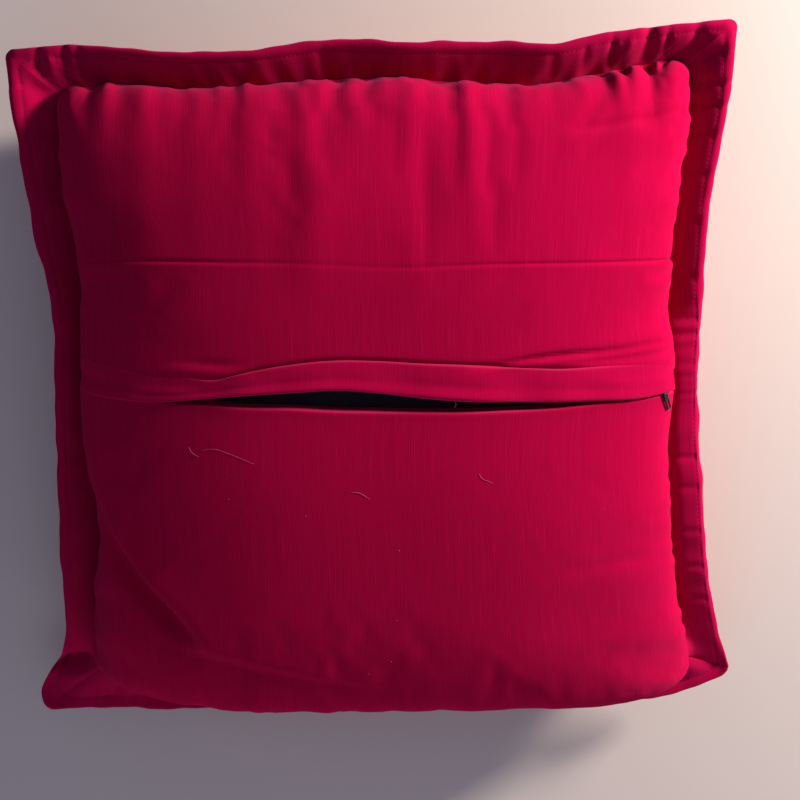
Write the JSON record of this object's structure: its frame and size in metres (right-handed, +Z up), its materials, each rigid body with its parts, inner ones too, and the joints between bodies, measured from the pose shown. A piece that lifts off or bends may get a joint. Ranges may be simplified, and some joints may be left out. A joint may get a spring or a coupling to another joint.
{
  "type": "square cushion",
  "caption": "Square filled cushion with crowned faces, drawn-in sides, a flat stitched border all round and a zip across its back under an overlapping flap.",
  "frame": {"origin": "on the surface it lies on, under the middle of the whole cushion's box", "axes": "+Z up, out of the zip side. +X towards the zip slider's side. +Y from the lower edge to the upper edge of the zip side."},
  "size_m": [0.4432, 0.4214, 0.1141],
  "materials": {
    "cover": "fine ribbed crimson cotton, matt, with slubs",
    "zip_tape": "black woven tape",
    "zip_coil": "black nylon coil",
    "zip_metal": "dark enamelled metal, worn"
  },
  "bodies": {
    "root": {"cushion_body": "cover", "border": "cover", "placket_flap": "cover", "zip_tape": "zip_tape", "zip_coil": "zip_coil", "zip_slider": "zip_metal", "zip_pull": "zip_metal"}
  },
  "joints": []
}
